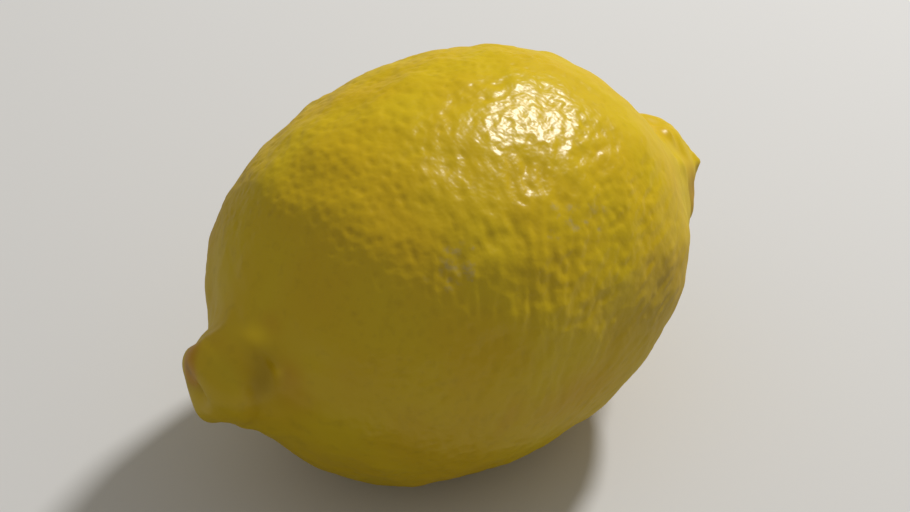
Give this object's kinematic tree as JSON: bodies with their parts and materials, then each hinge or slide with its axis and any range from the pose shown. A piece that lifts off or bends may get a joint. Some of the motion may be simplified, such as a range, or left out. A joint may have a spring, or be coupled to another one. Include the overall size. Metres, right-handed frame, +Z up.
{
  "type": "lemon",
  "caption": "Whole lemon lying on its side: oval yellow body, blunt nipple behind a ring furrow at the blossom end, low neck with a sunken stem scar at the other.",
  "frame": {"origin": "middle of the fruit's box in X and Y, on the surface it lies on, at the flat contact patch on its underside", "axes": "+Z up; +X along the core of the fruit, from the blossom end with the nipple to the stem end; +Y across it"},
  "size_m": [0.0902, 0.0606, 0.0589],
  "materials": {
    "rind": "waxy yellow lemon rind, finely pitted with oil glands"
  },
  "bodies": {
    "root": {"lemon": "rind"}
  },
  "joints": []
}
